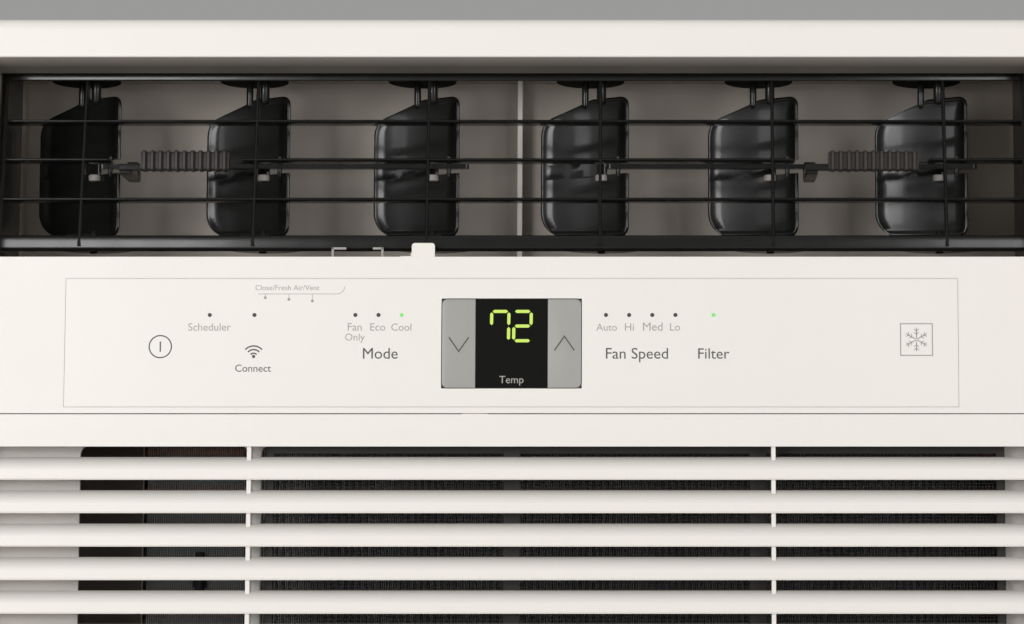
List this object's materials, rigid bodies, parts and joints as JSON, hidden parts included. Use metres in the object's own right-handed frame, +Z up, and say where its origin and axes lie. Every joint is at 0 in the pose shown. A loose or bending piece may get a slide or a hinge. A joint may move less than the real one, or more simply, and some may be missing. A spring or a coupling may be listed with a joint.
{
  "type": "window air conditioner",
  "caption": "Window air conditioner with a tilting louvre frame, swinging vanes, soft key control band, hinged intake grille and a full refrigeration chassis.",
  "frame": {"origin": "centre of the footprint, on the surface under the base pan", "axes": "+Z up, the front faces -Y, +X to the right seen from the front"},
  "size_m": [0.673, 0.649, 0.473],
  "materials": {
    "white_plastic": "fine satin moulding",
    "overlay_film": "printed satin film",
    "black_plastic": "glossy black moulding",
    "grip_plastic": "matte ribbed moulding",
    "key_grey": "satin grey",
    "key_clear": "natural plastic",
    "window_black": "smoked glossy window",
    "digit_green": "lit segments",
    "light_clear": "clear light guide",
    "board_green": "solder mask",
    "duct_grey": "warm grey foam and moulding",
    "filter_mesh": "woven plastic mesh",
    "filter_grey": "satin moulding",
    "cabinet_paint": "textured powder coat",
    "galvanised": "galvanised sheet",
    "coil_fin": "thin bare fins",
    "copper": "drawn copper tube",
    "compressor_black": "baked black paint",
    "motor_steel": "grey painted can",
    "rubber_black": "moulded rubber",
    "zinc_screw": "bright zinc plate",
    "fan_plastic": "moulded fan plastic",
    "capacitor_can": "drawn can"
  },
  "bodies": {
    "root": {"front_panel": "white_plastic", "control_overlay": "overlay_film", "display_window": "window_black", "control_board": "board_green", "digit_display": "digit_green", "status_light_pipes": "light_clear", "outlet_duct": "duct_grey", "centre_post": "white_plastic", "vent_cable": "rubber_black", "bulkhead": "galvanised", "outer_cabinet": "cabinet_paint", "base_pan": "cabinet_paint", "cabinet_screws": "zinc_screw", "top_rail": "cabinet_paint", "rear_guard": "cabinet_paint", "cord_gland": "rubber_black", "evaporator_fins": "coil_fin", "evaporator_tubes": "copper", "condenser_fins": "coil_fin", "condenser_tubes": "copper", "blower_housing": "duct_grey", "fan_motor": "motor_steel", "motor_bracket": "galvanised", "condenser_shroud": "galvanised", "compressor": "compressor_black", "compressor_mounts": "rubber_black", "accumulator": "compressor_black", "suction_line": "copper", "discharge_line": "copper", "capillary_tube": "copper", "control_box": "galvanised", "run_capacitor": "capacitor_can", "thermistor": "rubber_black"},
    "grille_door": {"intake_grille": "white_plastic", "grille_latch": "white_plastic", "filter_frame": "filter_grey", "filter_mesh": "filter_mesh"},
    "louvre": {"louvre_frame": "black_plastic"},
    "vane_left_1": {"vane_left_1": "black_plastic"},
    "vane_left_2": {"vane_left_2": "black_plastic"},
    "vane_left_3": {"vane_left_3": "black_plastic"},
    "link_left": {"link_bar_left": "black_plastic", "grip_left": "grip_plastic"},
    "vane_right_1": {"vane_right_1": "black_plastic"},
    "vane_right_2": {"vane_right_2": "black_plastic"},
    "vane_right_3": {"vane_right_3": "black_plastic"},
    "link_right": {"link_bar_right": "black_plastic", "grip_right": "grip_plastic"},
    "vent_lever": {"vent_lever": "white_plastic"},
    "vent_door": {"vent_door": "duct_grey"},
    "fan_rotor": {"blower_wheel": "fan_plastic", "fan_shaft": "galvanised", "condenser_fan": "fan_plastic"},
    "temp_down_key": {"temp_down_key": "key_grey"},
    "temp_up_key": {"temp_up_key": "key_grey"},
    "power_key": {"power_key": "key_clear"},
    "connect_key": {"connect_key": "key_clear"},
    "mode_key": {"mode_key": "key_clear"},
    "fan_speed_key": {"fan_speed_key": "key_clear"},
    "filter_key": {"filter_key": "key_clear"}
  },
  "joints": [
    {"name": "grille_door_hinge", "type": "hinge", "parent": "root", "child": "grille_door", "pos_m": [0, -0.312, 0.0185], "axis": [1, 0, 0], "range_deg": [0, 75]},
    {"name": "louvre_tilt", "type": "hinge", "parent": "root", "child": "louvre", "pos_m": [0, -0.27, 0.39], "axis": [1, 0, 0], "range_deg": [-6, 8]},
    {"name": "vane_left_1_swing", "type": "hinge", "parent": "louvre", "child": "vane_left_1", "pos_m": [-0.265, -0.261, 0.39], "axis": [0, 0, 1], "range_deg": [-102, 0]},
    {"name": "vane_left_2_swing", "type": "hinge", "parent": "louvre", "child": "vane_left_2", "pos_m": [-0.159, -0.261, 0.39], "axis": [0, 0, 1], "range_deg": [-102, 0]},
    {"name": "vane_left_3_swing", "type": "hinge", "parent": "louvre", "child": "vane_left_3", "pos_m": [-0.053, -0.261, 0.39], "axis": [0, 0, 1], "range_deg": [-102, 0]},
    {"name": "link_left_pin", "type": "hinge", "parent": "vane_left_1", "child": "link_left", "pos_m": [-0.2544, -0.26663, 0.39], "axis": [0, 0, 1], "range_deg": [0, 102]},
    {"name": "vane_right_1_swing", "type": "hinge", "parent": "louvre", "child": "vane_right_1", "pos_m": [0.053, -0.261, 0.39], "axis": [0, 0, 1], "range_deg": [-102, 0]},
    {"name": "vane_right_2_swing", "type": "hinge", "parent": "louvre", "child": "vane_right_2", "pos_m": [0.159, -0.261, 0.39], "axis": [0, 0, 1], "range_deg": [-102, 0]},
    {"name": "vane_right_3_swing", "type": "hinge", "parent": "louvre", "child": "vane_right_3", "pos_m": [0.265, -0.261, 0.39], "axis": [0, 0, 1], "range_deg": [-102, 0]},
    {"name": "link_right_pin", "type": "hinge", "parent": "vane_right_1", "child": "link_right", "pos_m": [0.0636, -0.26663, 0.39], "axis": [0, 0, 1], "range_deg": [0, 102]},
    {"name": "vent_lever_slide", "type": "slide", "parent": "root", "child": "vent_lever", "axis": [1, 0, 0], "range_m": [-0.052, 0]},
    {"name": "vent_door_swing", "type": "hinge", "parent": "root", "child": "vent_door", "pos_m": [-0.2, -0.0572, 0.3905], "axis": [1, 0, 0], "range_deg": [0, 50]},
    {"name": "fan_spin", "type": "hinge", "parent": "root", "child": "fan_rotor", "pos_m": [0, 0, 0.185], "axis": [0, 1, 0], "continuous": true},
    {"name": "temp_down_key_press", "type": "slide", "parent": "root", "child": "temp_down_key", "axis": [0, 1, 0], "range_m": [0, 0.0005], "stiffness_N_per_m": 3000},
    {"name": "temp_up_key_press", "type": "slide", "parent": "root", "child": "temp_up_key", "axis": [0, 1, 0], "range_m": [0, 0.0005], "stiffness_N_per_m": 3000},
    {"name": "power_key_press", "type": "slide", "parent": "root", "child": "power_key", "axis": [0, 1, 0], "range_m": [0, 0.0005], "stiffness_N_per_m": 3000},
    {"name": "connect_key_press", "type": "slide", "parent": "root", "child": "connect_key", "axis": [0, 1, 0], "range_m": [0, 0.0005], "stiffness_N_per_m": 3000},
    {"name": "mode_key_press", "type": "slide", "parent": "root", "child": "mode_key", "axis": [0, 1, 0], "range_m": [0, 0.0005], "stiffness_N_per_m": 3000},
    {"name": "fan_speed_key_press", "type": "slide", "parent": "root", "child": "fan_speed_key", "axis": [0, 1, 0], "range_m": [0, 0.0005], "stiffness_N_per_m": 3000},
    {"name": "filter_key_press", "type": "slide", "parent": "root", "child": "filter_key", "axis": [0, 1, 0], "range_m": [0, 0.0005], "stiffness_N_per_m": 3000}
  ],
  "couplings": [
    {"joint": "vane_left_2_swing", "follows": "vane_left_1_swing", "ratio": 1},
    {"joint": "vane_left_3_swing", "follows": "vane_left_1_swing", "ratio": 1},
    {"joint": "link_left_pin", "follows": "vane_left_1_swing", "ratio": -1},
    {"joint": "vane_right_2_swing", "follows": "vane_right_1_swing", "ratio": 1},
    {"joint": "vane_right_3_swing", "follows": "vane_right_1_swing", "ratio": 1},
    {"joint": "link_right_pin", "follows": "vane_right_1_swing", "ratio": -1},
    {"joint": "vent_door_swing", "follows": "vent_lever_slide", "rad_per_m": -16.782}
  ]
}
